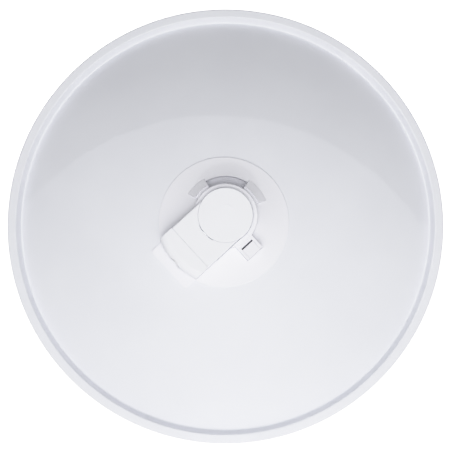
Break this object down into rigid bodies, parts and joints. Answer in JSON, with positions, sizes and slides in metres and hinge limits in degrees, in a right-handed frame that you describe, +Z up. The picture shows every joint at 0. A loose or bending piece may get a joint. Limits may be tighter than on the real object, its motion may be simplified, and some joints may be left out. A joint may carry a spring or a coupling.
{
  "type": "outdoor wireless bridge",
  "caption": "Round parabolic dish radio with a rolled rim, a bayonet collar for a pole bracket, a port arm with a sliding cover and a feed at the focus.",
  "frame": {"origin": "on the dish axis, in the plane of the collar's top ring, where the pole bracket seats", "axes": "+Y along the dish axis towards the radiating side, -Y out of the convex rear side, +Z up in use, +X to the right seen from the rear"},
  "size_m": [0.42, 0.1753, 0.42],
  "materials": {
    "white_paint": "satin white powder coat",
    "hub_plastic": "semi-gloss white moulded plastic",
    "radio_plastic": "semi-gloss white moulded plastic",
    "seal_rubber": "black silicone rubber",
    "grommet_silicone": "pale grey silicone rubber",
    "steel": "plain stainless steel",
    "board_green": "glass-fibre circuit board with green solder mask",
    "black_plastic": "black component body",
    "button_grey": "grey moulded plastic",
    "gold": "gold-plated spring contacts",
    "copper": "copper",
    "raw_aluminium": "plain aluminium",
    "thermal_grey": "soft grey silicone pad",
    "lamp": "clear acrylic"
  },
  "bodies": {
    "dish_unit": {"bayonet_collar": "hub_plastic", "board_link": "board_green", "board_screws": "steel", "breather_vent": "button_grey", "cap_o_ring": "seal_rubber", "coax_leads": "copper", "collar_screws": "steel", "dish_reflector": "white_paint", "end_cap": "radio_plastic", "ethernet_transformer": "black_plastic", "feed_board": "board_green", "feed_cap": "radio_plastic", "feed_dipoles": "copper", "feed_o_ring": "seal_rubber", "feed_tube": "radio_plastic", "frame_screws": "steel", "heat_spreader": "raw_aluminium", "hub_front_flange": "hub_plastic", "hub_gasket": "seal_rubber", "hub_rear_plate": "hub_plastic", "hub_screws": "steel", "jack_contacts": "gold", "light_pipes": "lamp", "main_board": "board_green", "port_board": "board_green", "port_frame": "radio_plastic", "radio_shell": "radio_plastic", "reset_switch": "black_plastic", "retaining_nut": "hub_plastic", "rf_shields": "steel", "rj45_jack": "steel", "status_leds": "lamp", "sub_reflector": "raw_aluminium", "surge_capacitors": "black_plastic", "thermal_pad": "thermal_grey"},
    "port_cover": {"port_cover": "radio_plastic", "cable_grommet": "grommet_silicone"},
    "bracket_latch": {"bracket_latch": "hub_plastic"},
    "reset_button": {"reset_button": "button_grey"}
  },
  "joints": [
    {"name": "port_cover_slide", "type": "slide", "parent": "dish_unit", "child": "port_cover", "axis": [-0.7349, 0, -0.6782], "range_m": [0, 0.03], "stiffness_N_per_m": 90},
    {"name": "bracket_latch_press", "type": "hinge", "parent": "dish_unit", "child": "bracket_latch", "pos_m": [0.0212, 0.015, -0.02806], "axis": [-0.7349, 0, -0.6782], "range_deg": [0, 6]},
    {"name": "reset_button_press", "type": "slide", "parent": "dish_unit", "child": "reset_button", "axis": [0.7349, 0, 0.6782], "range_m": [0, 0.0006]}
  ]
}
